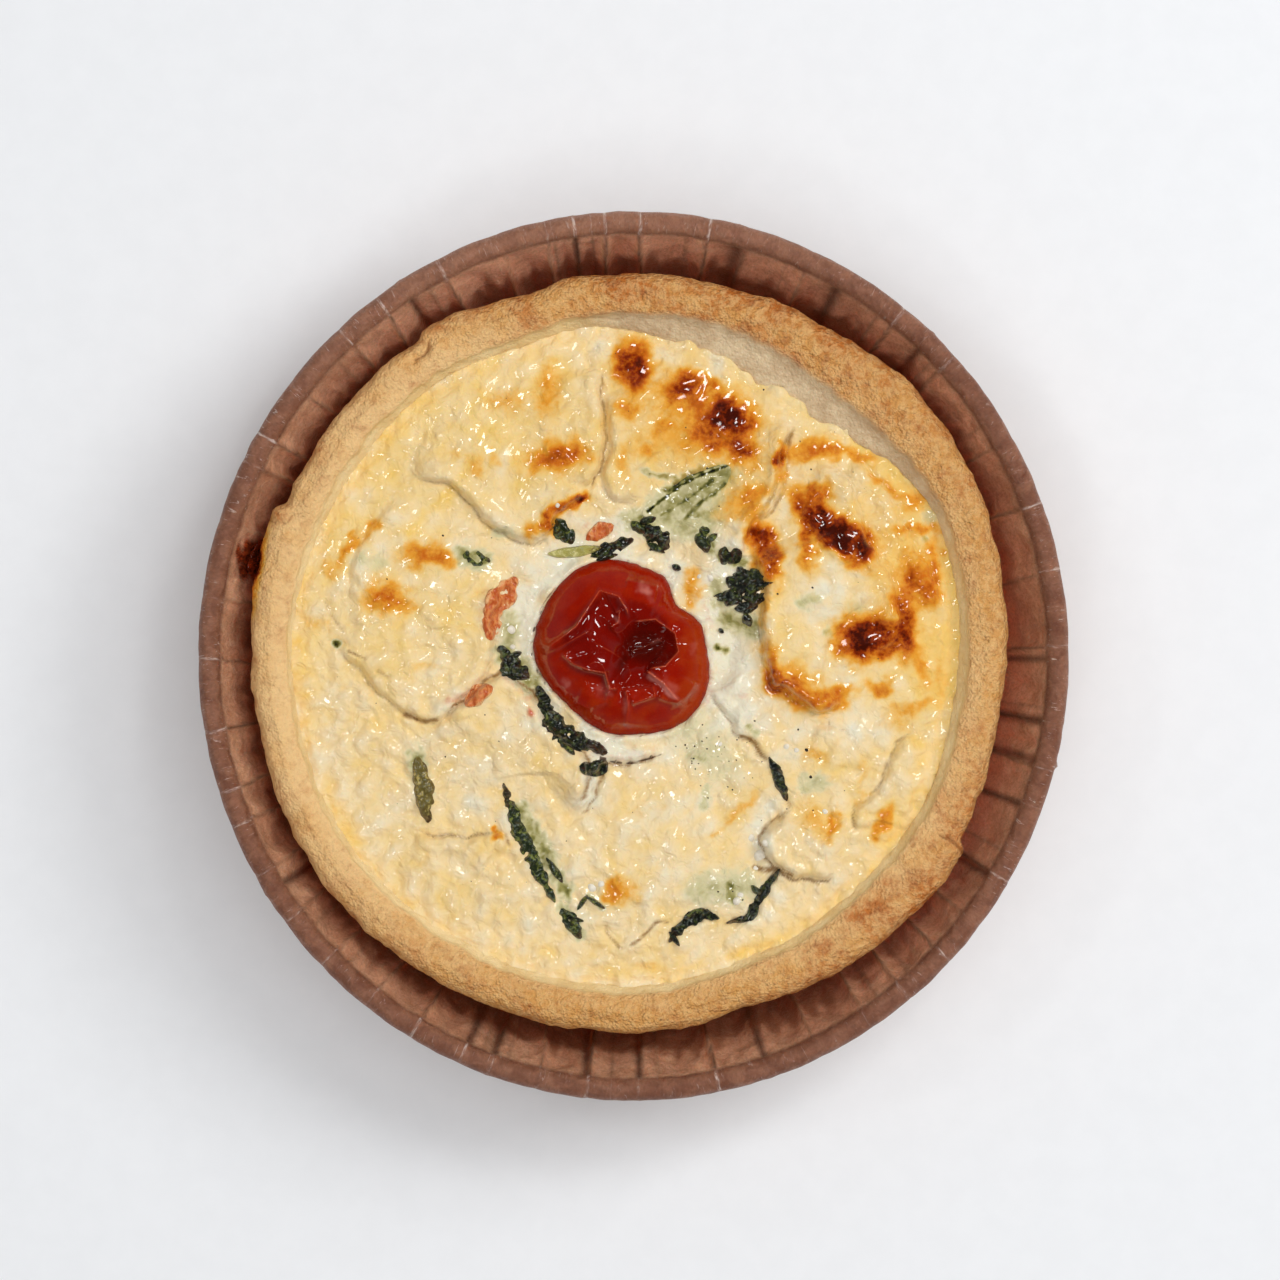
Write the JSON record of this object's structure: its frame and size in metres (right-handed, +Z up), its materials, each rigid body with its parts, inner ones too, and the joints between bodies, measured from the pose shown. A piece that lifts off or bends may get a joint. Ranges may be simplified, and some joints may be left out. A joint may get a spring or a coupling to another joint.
{
  "type": "individual quiche in a paper case",
  "caption": "Round open savoury pie with a raised pastry rim, cracked browned custard, a roasted tomato half and dark leaves, standing in a pleated brown paper baking case.",
  "frame": {"origin": "middle of the flat underside of the paper case, on the surface it stands on", "axes": "+Z up through the pie, +Y towards the top of the picture, +X towards its right"},
  "size_m": [0.1392, 0.1423, 0.0333],
  "materials": {
    "paper": "brown greaseproof paper, satin, with pale crease lines",
    "pastry": "baked shortcrust pastry, dry and grainy, golden with browner grains",
    "custard": "set egg and cream custard, greasy satin, browned in spots",
    "tomato": "glossy wrinkled roasted tomato skin",
    "leaf": "dark cooked leaf, oily",
    "coated_leaf": "cooked leaf under a thin coat of custard",
    "pale_leaf": "yellow-green cooked leaf or stalk",
    "salmon": "moist flaked salmon with browned edges"
  },
  "bodies": {
    "root": {"paper_case": "paper", "pastry_crust": "pastry", "custard": "custard", "tomato": "tomato", "leaf_under_cream": "coated_leaf", "leaf_north": "leaf", "leaf_north_east": "leaf", "leaf_above_tomato": "leaf", "leaf_west": "leaf", "leaf_below_tomato": "leaf", "leaf_south": "leaf", "leaf_crumpled": "leaf", "leaf_corner": "leaf", "leaf_pointed": "pale_leaf", "leaf_long": "leaf", "leaf_foot": "leaf", "leaf_slit": "leaf", "leaf_crack_east": "leaf", "leaf_crack_west": "leaf", "leaf_by_flap": "leaf", "leaf_north_west": "leaf", "stalk": "pale_leaf", "salmon_west": "salmon", "salmon_south_west": "salmon", "salmon_north": "salmon"}
  },
  "joints": []
}
